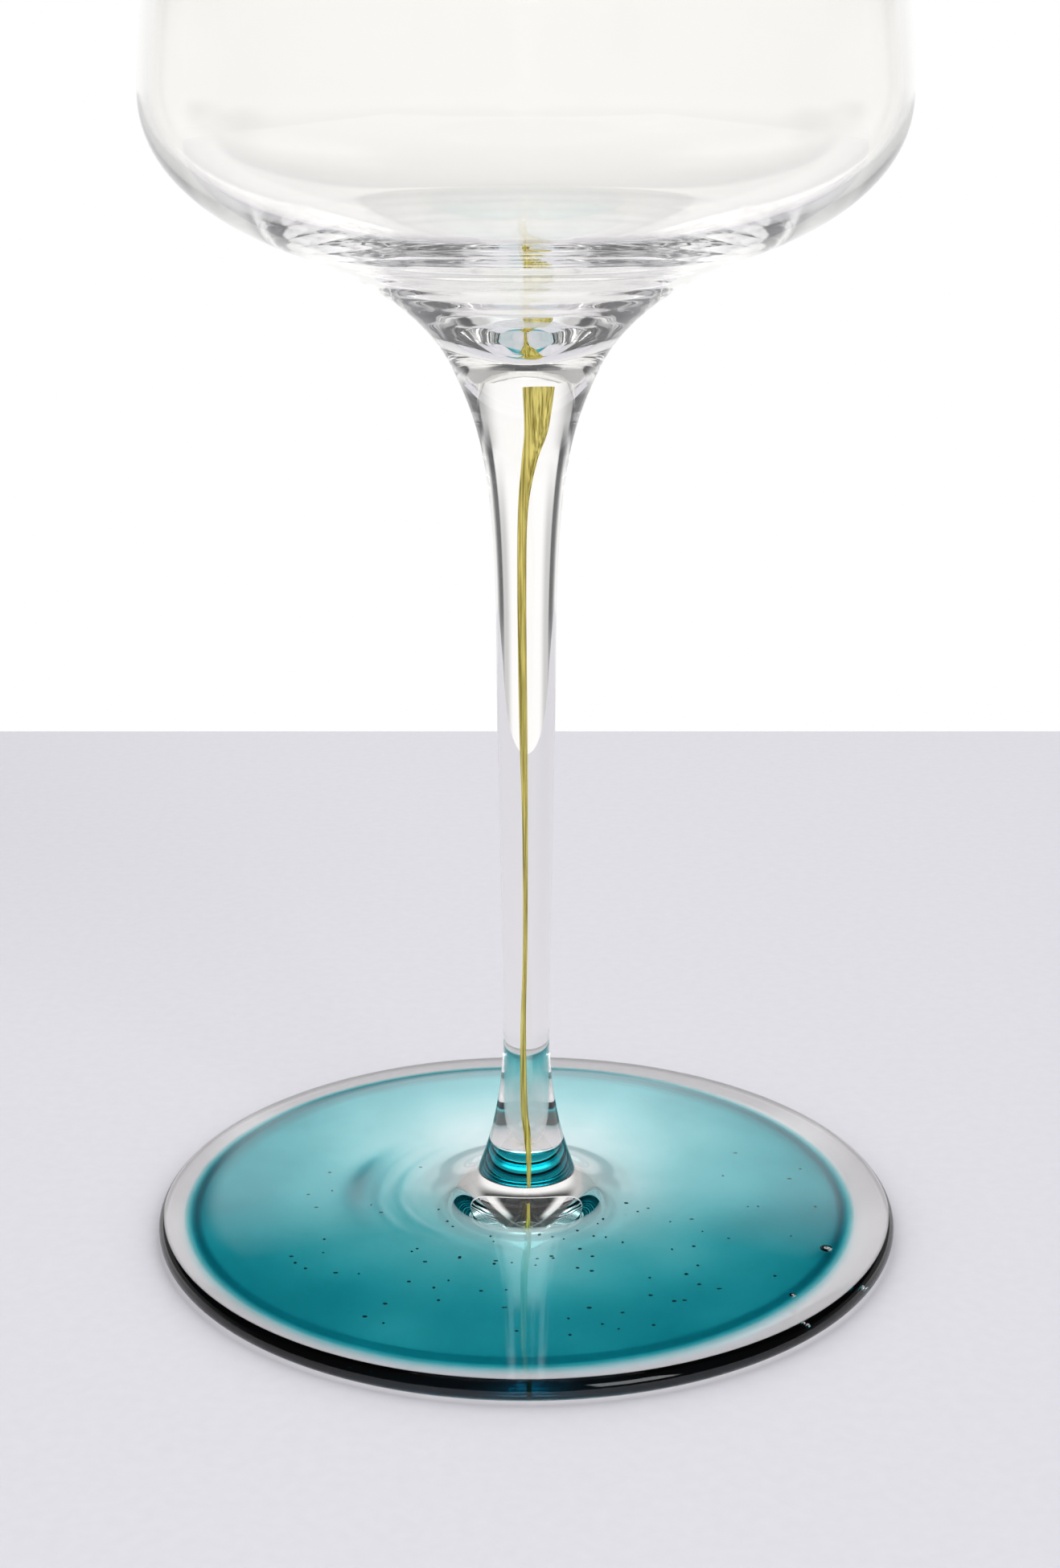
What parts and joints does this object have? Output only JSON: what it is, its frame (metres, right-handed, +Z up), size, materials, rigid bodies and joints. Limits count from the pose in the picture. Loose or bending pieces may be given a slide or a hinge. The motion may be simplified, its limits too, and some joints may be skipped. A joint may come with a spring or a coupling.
{
  "type": "white wine glass",
  "caption": "Stemmed white wine glass with a tulip bowl, a thread of yellow colour cased in its drawn stem and a ring of turquoise cased in its flat round foot.",
  "frame": {"origin": "centre of the face that the foot stands on", "axes": "+Z up the stem to the rim; +X to the right and +Y away from the viewer in the reference picture"},
  "size_m": [0.082, 0.082, 0.204],
  "materials": {
    "clear_glass": "gloss",
    "olive_yellow_glass": "gloss",
    "turquoise_glass": "gloss"
  },
  "bodies": {
    "root": {"bowl": "clear_glass", "stem": "clear_glass", "stem_thread": "olive_yellow_glass", "foot": "clear_glass", "foot_colour": "turquoise_glass"}
  },
  "joints": []
}
